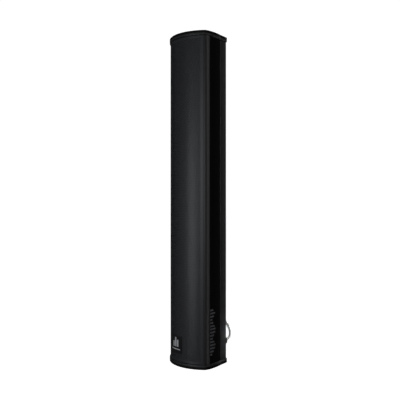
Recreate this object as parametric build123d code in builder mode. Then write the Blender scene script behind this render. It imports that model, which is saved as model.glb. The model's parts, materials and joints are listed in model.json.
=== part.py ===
from build123d import *
import math
import os

os.makedirs("parts", exist_ok=True)

# Column loudspeaker. Millimetres, +Z up, front towards -Y, the origin under the
# middle of the footprint, on the surface it stands on.

# Driving dimensions
height = 1000.0  # over both rubber end rings
cap_r = 115.2  # radius of the curved front, at the end caps
front_cy = 40.2  # y of the axis of the curved front
side_r = 180.6  # radius of the swept side, at the end caps
side_cx, side_cy = -86.5, -42.1  # axis of the right side's radius
side_start = 99.0  # degrees round that axis from -Y where the side begins
flank_y = 40.1  # the swept side ends here, and a flatter flank runs on to the rear corner
back_y = 75.0  # flat back of the end caps
overhang = 2.6  # the caps stand this far outside the extrusion
wall = 3.0  # extrusion wall
bumper_w, bumper_h = 6.0, 8.0  # rubber end ring
cap_top = 14.0  # top of the bottom cap's lip
gasket_t = 1.0
sheet_t = 1.2  # grille sheet
inlay_t = 1.0  # gloss side strip
inlay_y0, inlay_y1 = -11.0, 38.5
baffle_y, baffle_t = -22.0, 8.0  # front face and thickness
woofer_z = (110.0, 290.0, 710.0, 890.0)
horn_z = 500.0
cone_travel = 4.0  # each way
bosses = ((79.0, -3.0), (-79.0, -3.0), (46.0, 63.5), (-46.0, 63.5))
baffle_screw_z = (30.0, 200.0, 380.0, 620.0, 800.0, 970.0)
plate_z0, plate_z1, plate_hw = 32.0, 192.0, 39.0  # connector plate
plate_back = 74.4
socket_x, socket_zs = -16.0, (82.0, 136.0)
gland_x, gland_z, gland_ball_y = 20.0, 55.0, 96.0
gland_reach, gland_tilt = 11.0, 25.0  # from the elbow's middle to its outlet, degrees above level
lead_d = 8.0
bracket_x, bracket_dz, bracket_zs = 30.0, 50.0, (260.0, 740.0)
pole_y = 10.0

body_r = cap_r - overhang
body_side_r = side_r - overhang
body_back = back_y - overhang
z0, z1 = cap_top + gasket_t, height - cap_top - gasket_t  # extrusion ends


def on_side(radius, degrees):
    a = math.radians(degrees)
    return (side_cx + radius * math.sin(a), side_cy - radius * math.cos(a))


def side_x(radius, y):
    return side_cx + math.sqrt(radius**2 - (y - side_cy) ** 2)


def front_y(radius, x):
    return front_cy - math.sqrt(radius**2 - x**2)


def dome_y(radius, x):
    return 18.55 - math.sqrt(radius**2 - x**2)


def mirrored(point):
    return (-point[0], point[1])


# ---------------------------------------------------------------- profiles

cap_s = on_side(side_r, side_start)
cap_m = (side_x(side_r, 15.0), 15.0)
cap_b = (side_x(side_r, flank_y), flank_y)
cap_e = (61.1, back_y)
cap_q = ((cap_b[0] + cap_e[0]) / 2 + 0.4, (cap_b[1] + cap_e[1]) / 2 + 0.15)
with BuildSketch() as cap_profile:
    with BuildLine():
        f = (cap_s[0], front_y(cap_r, cap_s[0]))
        ThreePointArc(mirrored(f), (0, front_cy - cap_r), f)
        Line(f, cap_s)
        ThreePointArc(cap_s, cap_m, cap_b)
        ThreePointArc(cap_b, cap_q, cap_e)
        Line(cap_e, mirrored(cap_e))
        ThreePointArc(mirrored(cap_e), mirrored(cap_q), mirrored(cap_b))
        ThreePointArc(mirrored(cap_b), mirrored(cap_m), mirrored(cap_s))
        Line(mirrored(cap_s), mirrored(f))
    make_face()
    fillet(cap_profile.vertices().group_by(Axis.Y)[-1], 6.0)
    fillet(cap_profile.vertices().filter_by(lambda v: abs(v.Y - f[1]) < 0.01), 5.0)

body_s = on_side(body_side_r, side_start)
body_m = (side_x(body_side_r, 15.0), 15.0)
body_b = (side_x(body_side_r, flank_y), flank_y)
body_e = (59.3, body_back)
body_q = ((body_b[0] + body_e[0]) / 2 + 0.4, (body_b[1] + body_e[1]) / 2 + 0.15)
with BuildSketch() as body_profile:
    with BuildLine():
        f = (body_s[0], front_y(body_r, body_s[0]))
        ThreePointArc(mirrored(f), (0, front_cy - body_r), f)
        Line(f, body_s)
        ThreePointArc(body_s, body_m, body_b)
        ThreePointArc(body_b, body_q, body_e)
        Line(body_e, mirrored(body_e))
        ThreePointArc(mirrored(body_e), mirrored(body_q), mirrored(body_b))
        ThreePointArc(mirrored(body_b), mirrored(body_m), mirrored(body_s))
        Line(mirrored(body_s), mirrored(f))
    make_face()
    fillet(body_profile.vertices().group_by(Axis.Y)[-1], 4.0)
    fillet(body_profile.vertices().filter_by(lambda v: abs(v.Y - f[1]) < 0.01), 1.6)

# The room inside the extrusion, open across the front.
inner_r = body_side_r - wall
inner_x = 86.3
inner_s = (inner_x, side_cy + math.sqrt(inner_r**2 - (inner_x - side_cx) ** 2))
inner_e = (side_x(inner_r, body_back - wall), body_back - wall)
inner_m = (side_x(inner_r, 35.0), 35.0)
with BuildSketch() as room_profile:
    with BuildLine():
        Polyline(mirrored(inner_s), (-inner_x, -95.0), (inner_x, -95.0), inner_s)
        ThreePointArc(inner_s, inner_m, inner_e)
        Line(inner_e, mirrored(inner_e))
        ThreePointArc(mirrored(inner_e), mirrored(inner_m), mirrored(inner_s))
    make_face()

# The shallow recess on the right side that takes the gloss strip.
recess_r = body_side_r - inlay_t
with BuildSketch() as recess_profile:
    with BuildLine():
        a, b = (side_x(recess_r, inlay_y0), inlay_y0), (side_x(recess_r, inlay_y1), inlay_y1)
        c, d = (side_x(body_side_r + 3, inlay_y1), inlay_y1), (side_x(body_side_r + 3, inlay_y0), inlay_y0)
        ThreePointArc(a, (side_x(recess_r, 15.0), 15.0), b)
        Line(b, c)
        ThreePointArc(c, (side_x(body_side_r + 3, 15.0), 15.0), d)
        Line(d, a)
    make_face()

# ---------------------------------------------------------------- enclosure

with BuildPart() as housing:
    with BuildSketch(Plane.XY.offset(z0)):
        add(body_profile.sketch)
        add(room_profile.sketch, mode=Mode.SUBTRACT)
        add(recess_profile.sketch, mode=Mode.SUBTRACT)
        add(mirror(recess_profile.sketch, Plane.YZ), mode=Mode.SUBTRACT)
        # shadow groove down each side, behind the edge of the grille
        with Locations((body_s[0], -25.8), (-body_s[0], -25.8)):
            Rectangle(2.4, 1.7, mode=Mode.SUBTRACT)
        # bead along the rear edge of each strip
        rib = flank_y
        with Locations((side_x(body_side_r, rib), rib), (-side_x(body_side_r, rib), rib)):
            Circle(0.9)
        # rails behind the baffle, and the fins that guide the grille's returns
        with Locations((81.4, -12.5), (-81.4, -12.5)):
            Rectangle(10.8, 3.0)
        with Locations((83.65, -17.0), (-83.65, -17.0)):
            Rectangle(1.5, 10.0)
        # screw channels
        with Locations(*bosses):
            Circle(6.5)
    extrude(amount=z1 - z0)
    with Locations(*[Location((x, y, z1)) for x, y in bosses]):
        Hole(radius=1.9, depth=28)
    with Locations(*[Location((x, y, z0), (180, 0, 0)) for x, y in bosses]):
        Hole(radius=1.9, depth=28)
    # opening behind the connector plate
    with BuildSketch(Plane(origin=(0, 80, 0), x_dir=(1, 0, 0), z_dir=(0, -1, 0))):
        with Locations((0, 112)):
            RectangleRounded(62, 136, 4)
    extrude(amount=14, mode=Mode.SUBTRACT)
    # plate screws
    with BuildSketch(Plane(origin=(0, 80, 0), x_dir=(1, 0, 0), z_dir=(0, -1, 0))):
        with Locations(*[(x, z) for x in (-35, 35) for z in (37, 112, 187)]):
            Circle(1.55)
    extrude(amount=12, mode=Mode.SUBTRACT)
    # bracket inserts
    with BuildSketch(Plane(origin=(0, 80, 0), x_dir=(1, 0, 0), z_dir=(0, -1, 0))):
        with Locations(
            *[(x, z + s) for z in bracket_zs for x in (-bracket_x, bracket_x) for s in (-bracket_dz, bracket_dz)]
        ):
            Circle(4.5)
    extrude(amount=14, mode=Mode.SUBTRACT)
    # baffle screws, through the rails
    with BuildSketch(Plane(origin=(0, -16, 0), x_dir=(1, 0, 0), z_dir=(0, -1, 0))):
        with Locations(*[(x, z) for x in (-79.0, 79.0) for z in baffle_screw_z]):
            Circle(1.55)
    extrude(amount=-5.2, mode=Mode.SUBTRACT)
housing.part.label = "housing"
export_step(housing.part, "parts/housing.step")

with BuildPart() as side_strip_right:
    with BuildSketch(Plane.XY.offset(z0 + 0.2)):
        with BuildLine():
            r_in, r_out, ya, yb = recess_r + 0.15, body_side_r, inlay_y0 + 0.15, inlay_y1 - 0.15
            a, b = (side_x(r_in, ya), ya), (side_x(r_in, yb), yb)
            c, d = (side_x(r_out, yb), yb), (side_x(r_out, ya), ya)
            ThreePointArc(a, (side_x(r_in, 15.0), 15.0), b)
            Line(b, c)
            ThreePointArc(c, (side_x(r_out, 15.0), 15.0), d)
            Line(d, a)
        make_face()
    extrude(amount=z1 - z0 - 0.4)
side_strip_right.part.label = "side_strip_right"
export_step(side_strip_right.part, "parts/side_strip_right.step")

with BuildPart() as side_strip_left:
    mirror(side_strip_right.part, Plane.YZ, mode=Mode.ADD)
side_strip_left.part.label = "side_strip_left"
export_step(side_strip_left.part, "parts/side_strip_left.step")

with BuildPart() as bottom_ring:
    with BuildSketch():
        add(cap_profile.sketch)
        offset(cap_profile.sketch, amount=-bumper_w, mode=Mode.SUBTRACT)
    extrude(amount=bumper_h)
    fillet(bottom_ring.faces().sort_by(Axis.Z)[0].outer_wire().edges(), 1.6)
bottom_ring.part.label = "bottom_ring"
export_step(bottom_ring.part, "parts/bottom_ring.step")

with BuildPart() as top_ring:
    with BuildSketch(Plane.XY.offset(height - bumper_h)):
        add(cap_profile.sketch)
        offset(cap_profile.sketch, amount=-bumper_w, mode=Mode.SUBTRACT)
    extrude(amount=bumper_h)
    fillet(top_ring.faces().sort_by(Axis.Z)[-1].outer_wire().edges(), 1.6)
top_ring.part.label = "top_ring"
export_step(top_ring.part, "parts/top_ring.step")

with BuildPart() as bottom_cap:
    with BuildSketch(Plane.XY.offset(1.5)):
        offset(cap_profile.sketch, amount=-bumper_w)
    extrude(amount=bumper_h - 1.5)
    with BuildSketch(Plane.XY.offset(bumper_h)):
        add(cap_profile.sketch)
    extrude(amount=cap_top - bumper_h)
    fillet(bottom_cap.faces().sort_by(Axis.Z)[-1].outer_wire().edges(), 1.8)
    with BuildSketch(Plane.XY.offset(cap_top)):
        with Locations((0, 18)):
            RectangleRounded(96, 56, 6)
    extrude(amount=8)
    with Locations(*[Location((x, y, 1.5), (180, 0, 0)) for x, y in bosses]):
        CounterSinkHole(radius=2.3, counter_sink_radius=4.4, depth=30)
    with Locations((0, pole_y, 30)):
        Hole(radius=15.0, depth=40)
bottom_cap.part.label = "bottom_cap"
export_step(bottom_cap.part, "parts/bottom_cap.step")

with BuildPart() as top_cap:
    with BuildSketch(Plane.XY.offset(height - bumper_h)):
        offset(cap_profile.sketch, amount=-bumper_w)
    extrude(amount=bumper_h - 1.5)
    with BuildSketch(Plane.XY.offset(height - cap_top)):
        add(cap_profile.sketch)
    extrude(amount=cap_top - bumper_h)
    fillet(top_cap.faces().sort_by(Axis.Z)[0].outer_wire().edges(), 1.8)
    with BuildSketch(Plane.XY.offset(height - cap_top - 8)):
        with Locations((0, 18)):
            RectangleRounded(96, 56, 6)
    extrude(amount=8)
    with Locations(*[Location((x, y, height - 1.5)) for x, y in bosses]):
        CounterSinkHole(radius=2.3, counter_sink_radius=4.4, depth=30)
top_cap.part.label = "top_cap"
export_step(top_cap.part, "parts/top_cap.step")

with BuildPart() as pole_insert:
    with BuildSketch(Plane.XY.offset(1.5)):
        with Locations((0, pole_y)):
            Circle(14.9)
    extrude(amount=20.5)
    with BuildSketch(Plane.XY.offset(22)):
        with Locations((0, pole_y)):
            RegularPolygon(radius=20, side_count=6)
    extrude(amount=4)
    with BuildSketch(Plane.XY):
        with Locations((0, pole_y)):
            Circle(10.0)
    extrude(amount=30, mode=Mode.SUBTRACT)
    chamfer(pole_insert.faces().sort_by(Axis.Z)[0].inner_wires()[0].edges(), 1.0)
pole_insert.part.label = "pole_insert"
export_step(pole_insert.part, "parts/pole_insert.step")

# One seal under each cap, the shape of the extrusion's wall.
with BuildPart() as cap_seals:
    for z in (cap_top, z1):
        with BuildSketch(Plane.XY.offset(z)):
            add(body_profile.sketch)
            add(room_profile.sketch, mode=Mode.SUBTRACT)
            add(recess_profile.sketch, mode=Mode.SUBTRACT)
            add(mirror(recess_profile.sketch, Plane.YZ), mode=Mode.SUBTRACT)
        extrude(amount=gasket_t)
cap_seals.part.label = "cap_seals"
export_step(cap_seals.part, "parts/cap_seals.step")

# Countersunk cap screws, four at each end.
with BuildPart() as cap_screws:
    for x, y in bosses:
        for s, z in ((1, 1.5), (-1, height - 1.5)):
            with BuildSketch(Plane(origin=(x, y, z), x_dir=(1, 0, 0), z_dir=(0, -1, 0))):
                with BuildLine():
                    Polyline(
                        (0, 0.1 * s), (4.2, 0.1 * s), (1.8, 2.5 * s), (1.8, 36.0 * s), (0, 38.0 * s), (0, 0.1 * s)
                    )
                make_face()
            revolve(axis=Axis((x, y, z), (0, 0, 1)))
            with Locations(Location((x, y, z + 0.1 * s), (180 if s > 0 else 0, 0, 0))):
                Cylinder(1.4, 1.6, align=(Align.CENTER, Align.CENTER, Align.MAX), mode=Mode.SUBTRACT)
cap_screws.part.label = "cap_screws"
export_step(cap_screws.part, "parts/cap_screws.step")

# ---------------------------------------------------------------- front

gx = 86.1
with BuildPart() as grille:
    with BuildSketch(Plane.XY.offset(z0 + 0.4)):
        with BuildLine():
            o = (gx, front_y(body_r, gx))
            i = (gx - sheet_t, front_y(body_r - sheet_t, gx - sheet_t))
            ThreePointArc(mirrored(o), (0, front_cy - body_r), o)
            Polyline(o, (gx, -15.0), (gx - sheet_t, -15.0), i)
            ThreePointArc(i, (0, front_cy - body_r + sheet_t), mirrored(i))
            Polyline(mirrored(i), (sheet_t - gx, -15.0), (-gx, -15.0), mirrored(o))
        make_face()
    extrude(amount=z1 - z0 - 0.8)
grille.part.label = "grille"
export_step(grille.part, "parts/grille.step")

# Acoustic cloth behind the grille.
with BuildPart() as grille_cloth:
    with BuildSketch(Plane.XY.offset(z0 + 1)):
        with BuildLine():
            o, i = (83.6, front_y(110.8, 83.6)), (83.0, front_y(109.8, 83.0))
            ThreePointArc(mirrored(o), (0, front_cy - 110.8), o)
            Line(o, i)
            ThreePointArc(i, (0, front_cy - 109.8), mirrored(i))
            Line(mirrored(i), mirrored(o))
        make_face()
    extrude(amount=z1 - z0 - 2)
grille_cloth.part.label = "grille_cloth"
export_step(grille_cloth.part, "parts/grille_cloth.step")


# Badge plate, curved to the front, with a plain three-bar level mark on it.
with BuildPart() as badge_plate:
    with BuildSketch(Plane.XY.offset(39)):
        with BuildLine():
            o, i = (26.0, front_y(114.0, 26.0)), (26.0, front_y(112.85, 26.0))
            ThreePointArc(mirrored(o), (0, front_cy - 114.0), o)
            Line(o, i)
            ThreePointArc(i, (0, front_cy - 112.85), mirrored(i))
            Line(mirrored(i), mirrored(o))
        make_face()
    extrude(amount=52)
    fillet(badge_plate.edges().filter_by(Axis.Y, tolerance=30).filter_by(lambda e: abs(abs(e.center().X) - 26) < 0.1 and e.length < 3), 2.5)
badge_plate.part.label = "badge_plate"
export_step(badge_plate.part, "parts/badge_plate.step")

with BuildPart() as badge_marks:
    for x, w, za, zb in ((-10, 6.4, 58.5, 74.0), (0, 6.4, 58.5, 86.5), (10, 6.4, 58.5, 80.0), (0, 40, 50.0, 52.6)):
        with BuildSketch(Plane.XY.offset(za)):
            with BuildLine():
                a = [(x + k * w / 2, front_y(114.15, x + k * w / 2)) for k in (-1, 0, 1)]
                b = [(x + k * w / 2, front_y(114.85, x + k * w / 2)) for k in (1, 0, -1)]
                ThreePointArc(*a)
                Line(a[2], b[0])
                ThreePointArc(*b)
                Line(b[2], a[0])
            make_face()
        extrude(amount=zb - za)
badge_marks.part.label = "badge_marks"
export_step(badge_marks.part, "parts/badge_marks.step")

# ---------------------------------------------------------------- baffle and drivers

front_plane = Plane(origin=(0, baffle_y, 0), x_dir=(1, 0, 0), z_dir=(0, -1, 0))
with BuildPart() as baffle:
    with BuildSketch(front_plane):
        with Locations((0, height / 2)):
            Rectangle(164.6, 952)
        with Locations(*[(0, z) for z in woofer_z]):
            Circle(70, mode=Mode.SUBTRACT)
        with Locations((0, horn_z)):
            RectangleRounded(136, 156, 10, mode=Mode.SUBTRACT)
        with Locations(*[(x, z) for x in (-79.0, 79.0) for z in baffle_screw_z]):
            Circle(1.7, mode=Mode.SUBTRACT)
        with Locations(*[(sx * 71.5, horn_z + sz * 84) for sx in (-1, 1) for sz in (-1, 1)]):
            Circle(1.55, mode=Mode.SUBTRACT)
        for z in woofer_z:
            with Locations((0, z)):
                with PolarLocations(73.9, 4, start_angle=45):
                    Circle(1.55, mode=Mode.SUBTRACT)
    extrude(amount=-baffle_t)
baffle.part.label = "baffle"
export_step(baffle.part, "parts/baffle.step")

with BuildPart() as baffle_screws:
    for sx in (-1, 1):
        for z in baffle_screw_z:
            with BuildSketch(Plane(origin=(sx * 79.0, 0, z), x_dir=(1, 0, 0), z_dir=(0, 0, 1))):
                with BuildLine():
                    Polyline((0, -24.2), (2.2, -24.0), (3.1, -23.2), (3.1, -22.0), (1.45, -22.0), (1.45, -10.9), (0, -10.0), (0, -24.2))
                make_face()
            revolve(axis=Axis((sx * 79.0, 0, z), (0, 1, 0)))
baffle_screws.part.label = "baffle_screws"
export_step(baffle_screws.part, "parts/baffle_screws.step")

for n, zc in enumerate(woofer_z, 1):
    driver_plane = Plane(origin=(0, 0, zc), x_dir=(1, 0, 0), z_dir=(0, 0, 1))
    driver_axis = Axis((0, 0, zc), (0, 1, 0))
    with BuildPart() as basket:
        with BuildSketch(driver_plane):
            with BuildLine():
                Polyline(
                    (66, -25), (79, -25), (79, -22), (69, -22), (69, -18), (47, 20), (47, 23),
                    (30, 23), (30, 20), (44.3, 20), (66, -17.5), (66, -25),
                )
            make_face()
        revolve(axis=driver_axis)
        with BuildSketch(Plane(origin=(0, -13, zc), x_dir=(1, 0, 0), z_dir=(0, 1, 0))):
            with PolarLocations(55, 6):
                RectangleRounded(26, 34, 4)
        extrude(amount=28, mode=Mode.SUBTRACT)
        with BuildSketch(driver_plane):
            with BuildLine():
                Polyline((40, 9), (50.9, 9), (49.7, 11), (40, 11), (40, 9))
            make_face()
        revolve(axis=driver_axis)
        with BuildSketch(Plane(origin=(0, -30, zc), x_dir=(1, 0, 0), z_dir=(0, 1, 0))):
            with PolarLocations(73.9, 4, start_angle=45):
                Circle(2.2)
        extrude(amount=9, mode=Mode.SUBTRACT)
    basket.part.label = f"woofer_basket_{n}"
    export_step(basket.part, f"parts/woofer_basket_{n}.step")

    with BuildPart() as motor:
        with BuildSketch(driver_plane):
            with BuildLine():
                Polyline(
                    (14.5, 23), (44, 23), (44, 29), (42.5, 29), (42.5, 43), (44, 43), (44, 47), (0, 47),
                    (0, 24), (12.6, 24), (12.6, 43), (20, 43), (20, 29), (14.5, 29), (14.5, 23),
                )
            make_face()
        revolve(axis=driver_axis)
    motor.part.label = f"woofer_motor_{n}"
    export_step(motor.part, f"parts/woofer_motor_{n}.step")

    # Pressed cone with its voice-coil former and its domed middle.
    with BuildPart() as cone:
        with BuildSketch(driver_plane):
            with BuildLine():
                Polyline(
                    (57.8, -20.6), (14.2, 8.0), (13.9, 8.0), (13.9, 34), (13.4, 34), (13.4, 6.5),
                    (57.3, -21.8), (57.8, -20.6),
                )
            make_face()
            with BuildLine():
                ThreePointArc((0, -5.4), (9.5, dome_y(23.95, 9.5)), (18.6, dome_y(23.95, 18.6)))
                Polyline((18.6, dome_y(23.95, 18.6)), (18.0, dome_y(23.95, 18.6) + 1.2), (17.6, dome_y(23.15, 17.6)))
                ThreePointArc((17.6, dome_y(23.15, 17.6)), (9.0, dome_y(23.15, 9.0)), (0, -4.6))
                Line((0, -4.6), (0, -5.4))
            make_face()
        revolve(axis=driver_axis)
    cone.part.label = f"woofer_cone_{n}"
    export_step(cone.part, f"parts/woofer_cone_{n}.step")

    with BuildPart() as surround:
        with BuildSketch(driver_plane):
            with BuildLine():
                Line((70, -26), (66, -26))
                ThreePointArc((66, -26), (61.4, -31.6), (56.9, -24.0))
                Polyline((56.9, -24.0), (54, -21.2), (54, -20.3), (57.9, -23.4))
                ThreePointArc((57.9, -23.4), (61.4, -30.6), (65.0, -25.05))
                Polyline((65.0, -25.05), (70, -25.05), (70, -26))
            make_face()
        revolve(axis=driver_axis)
    surround.part.label = f"woofer_surround_{n}"
    export_step(surround.part, f"parts/woofer_surround_{n}.step")

    with BuildPart() as spider:
        with BuildSketch(driver_plane):
            with BuildLine():
                Polyline(
                    (47, 8.2), (39, 8.2), (36, 6.6), (32, 9.8), (28, 6.6), (24, 9.8), (20, 7.4), (14.1, 8.7),
                    (14.1, 9.4), (20, 8.2), (24, 10.6), (28, 7.4), (32, 10.6), (36, 7.4), (38.8, 8.95), (47, 8.95), (47, 8.2),
                )
            make_face()
        revolve(axis=driver_axis)
    spider.part.label = f"woofer_spider_{n}"
    export_step(spider.part, f"parts/woofer_spider_{n}.step")

with BuildPart() as woofer_screws:
    for zc in woofer_z:
        for k in range(4):
            a = math.radians(45 + 90 * k)
            x, z = 73.9 * math.cos(a), zc + 73.9 * math.sin(a)
            with BuildSketch(Plane(origin=(x, 0, z), x_dir=(1, 0, 0), z_dir=(0, 0, 1))):
                with BuildLine():
                    Polyline((0, -28.2), (2.6, -27.9), (3.6, -26.8), (3.6, -25.0), (1.45, -25.0), (1.45, -12.5), (0, -11.0), (0, -28.2))
                make_face()
            revolve(axis=Axis((x, 0, z), (0, 1, 0)))
woofer_screws.part.label = "woofer_screws"
export_step(woofer_screws.part, "parts/woofer_screws.step")

# ---------------------------------------------------------------- high-frequency horn

with BuildPart() as horn:
    with BuildSketch(Plane(origin=(0, -25, horn_z), x_dir=(1, 0, 0), z_dir=(0, 1, 0))):
        RectangleRounded(152, 178, 6)
    extrude(amount=3)
    with BuildSketch(Plane(origin=(0, -22, horn_z), x_dir=(1, 0, 0), z_dir=(0, 1, 0))):
        RectangleRounded(132, 152, 9)
    with BuildSketch(Plane(origin=(0, 14, horn_z), x_dir=(1, 0, 0), z_dir=(0, 1, 0))):
        Circle(22)
    loft()
    with BuildSketch(Plane(origin=(0, 14, horn_z), x_dir=(1, 0, 0), z_dir=(0, 1, 0))):
        Circle(26)
    extrude(amount=4)
    with BuildSketch(Plane(origin=(0, -25, horn_z), x_dir=(1, 0, 0), z_dir=(0, 1, 0))):
        RectangleRounded(126, 146, 7)
    with BuildSketch(Plane(origin=(0, 18, horn_z), x_dir=(1, 0, 0), z_dir=(0, 1, 0))):
        Circle(12.5)
    loft(mode=Mode.SUBTRACT)
    with BuildSketch(Plane(origin=(0, -30, horn_z), x_dir=(1, 0, 0), z_dir=(0, 1, 0))):
        with Locations(*[(sx * 71.5, sz * 84) for sx in (-1, 1) for sz in (-1, 1)]):
            Circle(2.2)
    extrude(amount=9, mode=Mode.SUBTRACT)
horn.part.label = "horn"
export_step(horn.part, "parts/horn.step")

with BuildPart() as horn_screws:
    for sx in (-1, 1):
        for sz in (-1, 1):
            x, z = sx * 71.5, horn_z + sz * 84
            with BuildSketch(Plane(origin=(x, 0, z), x_dir=(1, 0, 0), z_dir=(0, 0, 1))):
                with BuildLine():
                    Polyline((0, -28.2), (2.6, -27.9), (3.6, -26.8), (3.6, -25.0), (1.45, -25.0), (1.45, -12.5), (0, -11.0), (0, -28.2))
                make_face()
            revolve(axis=Axis((x, 0, z), (0, 1, 0)))
horn_screws.part.label = "horn_screws"
export_step(horn_screws.part, "parts/horn_screws.step")

hf_plane = Plane(origin=(0, 0, horn_z), x_dir=(1, 0, 0), z_dir=(0, 0, 1))
hf_axis = Axis((0, 0, horn_z), (0, 1, 0))
with BuildPart() as hf_driver:
    with BuildSketch(hf_plane):
        with BuildLine():
            Polyline(
                (12.5, 18), (30, 18), (30, 22), (38, 22), (38, 50), (36, 52), (0, 52), (0, 34), (25, 34), (25, 24), (12.5, 24), (12.5, 18)
            )
        make_face()
    revolve(axis=hf_axis)
hf_driver.part.label = "hf_driver"
export_step(hf_driver.part, "parts/hf_driver.step")

dome_r = (20.0**2 + 4.0**2) / (2 * 4.0)
dome_c = 27.0 + dome_r
with BuildPart() as hf_diaphragm:
    with BuildSketch(hf_plane):
        with BuildLine():
            ThreePointArc((0, 27), (10, dome_c - math.sqrt(dome_r**2 - 100)), (20, 31))
            Line((20, 31), (19.8, dome_c - math.sqrt((dome_r - 0.5) ** 2 - 19.8**2)))
            ThreePointArc(
                (19.8, dome_c - math.sqrt((dome_r - 0.5) ** 2 - 19.8**2)),
                (10, dome_c - math.sqrt((dome_r - 0.5) ** 2 - 100)),
                (0, 27.5),
            )
            Line((0, 27.5), (0, 27))
        make_face()
    revolve(axis=hf_axis)
hf_diaphragm.part.label = "hf_diaphragm"
export_step(hf_diaphragm.part, "parts/hf_diaphragm.step")

with BuildPart() as hf_suspension:
    with BuildSketch(hf_plane):
        with BuildLine():
            Polyline((20.2, 31.1), (22, 30.4), (24.9, 31.1), (24.9, 31.5), (22, 30.8), (20.2, 31.5), (20.2, 31.1))
        make_face()
    revolve(axis=hf_axis)
hf_suspension.part.label = "hf_suspension"
export_step(hf_suspension.part, "parts/hf_suspension.step")

# ---------------------------------------------------------------- crossover and wiring

with BuildPart() as crossover_board:
    with BuildSketch(Plane(origin=(0, 62, 0), x_dir=(1, 0, 0), z_dir=(0, -1, 0))):
        with Locations((0, 390)):
            RectangleRounded(70, 90, 2)
        with Locations(*[(sx * 30, 390 + sz * 40) for sx in (-1, 1) for sz in (-1, 1)]):
            Circle(1.7, mode=Mode.SUBTRACT)
    extrude(amount=-1.6)
crossover_board.part.label = "crossover_board"
export_step(crossover_board.part, "parts/crossover_board.step")

with BuildPart() as board_standoffs:
    with BuildSketch(Plane(origin=(0, 63.6, 0), x_dir=(1, 0, 0), z_dir=(0, -1, 0))):
        with Locations(*[(sx * 30, 390 + sz * 40) for sx in (-1, 1) for sz in (-1, 1)]):
            Circle(3.4)
    extrude(amount=-(body_back - wall - 63.6))
    with BuildSketch(Plane(origin=(0, 59.6, 0), x_dir=(1, 0, 0), z_dir=(0, -1, 0))):
        with Locations(*[(sx * 30, 390 + sz * 40) for sx in (-1, 1) for sz in (-1, 1)]):
            Circle(1.5)
    extrude(amount=-6)
    with BuildSketch(Plane(origin=(0, 59.6, 0), x_dir=(1, 0, 0), z_dir=(0, -1, 0))):
        with Locations(*[(sx * 30, 390 + sz * 40) for sx in (-1, 1) for sz in (-1, 1)]):
            Circle(2.9)
    extrude(amount=-2.3)
board_standoffs.part.label = "board_standoffs"
export_step(board_standoffs.part, "parts/board_standoffs.step")

with BuildPart() as crossover_inductors:
    for z in (366, 402):
        with BuildSketch(Plane(origin=(-14, 61.9, z), x_dir=(1, 0, 0), z_dir=(0, -1, 0))):
            Circle(14)
            Circle(6, mode=Mode.SUBTRACT)
        extrude(amount=12)
        fillet(crossover_inductors.faces().filter_by(Axis.Y).sort_by(Axis.Y)[0].edges(), 2.5)
crossover_inductors.part.label = "crossover_inductors"
export_step(crossover_inductors.part, "parts/crossover_inductors.step")

with BuildPart() as crossover_capacitors:
    with BuildSketch(Plane.XY.offset(360)):
        with Locations((10, 54.6), (26.5, 54.6)):
            Circle(7)
    extrude(amount=30)
    with BuildSketch(Plane.XY.offset(396)):
        with Locations((10, 54.6), (26.5, 54.6)):
            Circle(7)
    extrude(amount=24)
crossover_capacitors.part.label = "crossover_capacitors"
export_step(crossover_capacitors.part, "parts/crossover_capacitors.step")

with BuildPart() as damping_foam:
    with BuildSketch(Plane.XY.offset(200)):
        with Locations((0, 61.4)):
            Rectangle(44, 16)
    extrude(amount=135)
    with BuildSketch(Plane.XY.offset(590)):
        with Locations((0, 61.4)):
            Rectangle(44, 16)
    extrude(amount=375)
damping_foam.part.label = "damping_foam"
export_step(damping_foam.part, "parts/damping_foam.step")

# Driver loom, clipped along the left wall, with a tail to each driver.
with BuildPart() as driver_loom:
    with BuildSketch(Plane.XY.offset(100)):
        with Locations((-58, 40)):
            Circle(2.5)
    extrude(amount=800)
    for z in woofer_z:
        with BuildSketch(Plane(origin=(-58, 40, z), x_dir=(0, 1, 0), z_dir=(1, 0, 0))):
            Circle(1.4)
        extrude(amount=15.2)
    with BuildSketch(Plane(origin=(-58, 40, horn_z), x_dir=(0, 1, 0), z_dir=(1, 0, 0))):
        Circle(1.4)
    extrude(amount=19.8)
driver_loom.part.label = "driver_loom"
export_step(driver_loom.part, "parts/driver_loom.step")

# ---------------------------------------------------------------- rear fittings

back_plane = Plane(origin=(0, plate_back, 0), x_dir=(-1, 0, 0), z_dir=(0, 1, 0))
boot_dir = (0.0, math.cos(math.radians(128)), math.sin(math.radians(128)))
outlet_dir = (0.0, math.cos(math.radians(gland_tilt)), math.sin(math.radians(gland_tilt)))
lead_points = [(gland_x, gland_ball_y + gland_reach * outlet_dir[1], gland_z + gland_reach * outlet_dir[2])]
for run, turn in ((7.5, 25), (8.5, 55), (9.5, 83), (11.0, 105), (12.5, 119), (12.5, 125), (12.0, 128)):
    x, y, z = lead_points[-1]
    lead_points.append((x, y + run * math.cos(math.radians(turn)), z + run * math.sin(math.radians(turn))))
boot_tip = lead_points[-1]
boot_len = (boot_tip[1] - plate_back) / -boot_dir[1]
boot_z = boot_tip[2] + boot_len * boot_dir[2]

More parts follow.
